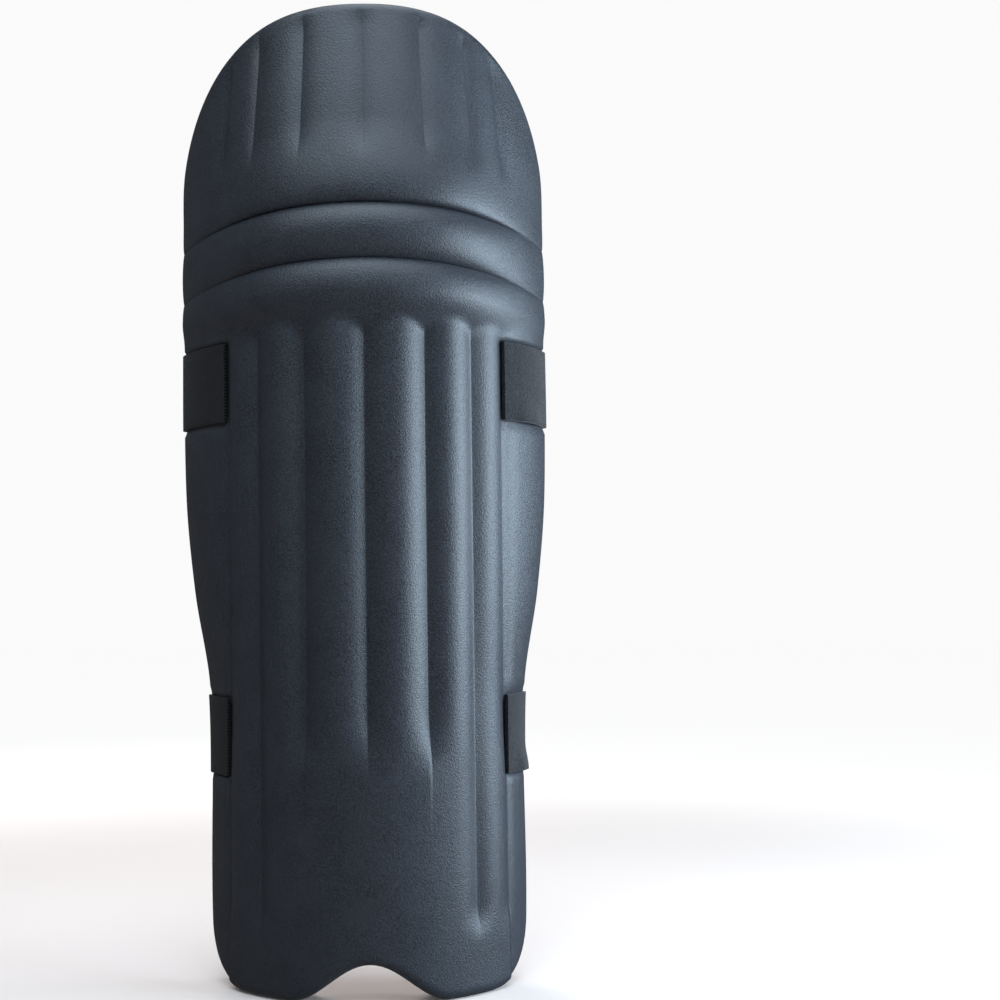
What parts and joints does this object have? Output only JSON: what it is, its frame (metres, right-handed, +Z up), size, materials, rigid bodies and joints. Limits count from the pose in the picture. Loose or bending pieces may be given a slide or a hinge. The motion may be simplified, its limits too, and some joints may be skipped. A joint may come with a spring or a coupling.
{
  "type": "batting pad",
  "caption": "Moulded cricket batting pad with ribbed foam front, knee rolls, padded lining and two leg straps through rings, standing on its foot lobes.",
  "frame": {"origin": "on the floor under the middle of the pad's box, between the two foot lobes", "axes": "+Z up along the shin, -Y out of the ribbed front, +Y towards the leg and the straps, X across the pad"},
  "size_m": [0.2512, 0.117, 0.618],
  "materials": {
    "shell_foam": "moulded EVA foam skin, satin, fine grain",
    "black_cloth": "black laminated cloth",
    "knee_cloth": "black printed cloth with pale grey dots",
    "channel_cloth": "black printed cloth with a grey-blue lattice",
    "column_cloth": "white cloth with a black middle stretch",
    "bolster_cloth": "grey printed cloth with a white lattice, white mesh gusset",
    "label": "plain silver-grey woven patch",
    "strap_pile": "black brushed loop pile",
    "webbing": "black twill webbing",
    "ring_plastic": "white moulded plastic"
  },
  "bodies": {
    "root": {"front_shell": "shell_foam", "back_cloth": "black_cloth", "knee_pad": "knee_cloth", "label_patch": "label", "channel_lining": "channel_cloth", "centre_bolster": "column_cloth", "side_bolster_left": "bolster_cloth", "side_bolster_right": "bolster_cloth", "strap_upper": "strap_pile", "strap_lower": "strap_pile", "anchor_upper": "webbing", "anchor_lower": "webbing", "ring_upper": "ring_plastic", "ring_lower": "ring_plastic"}
  },
  "joints": []
}
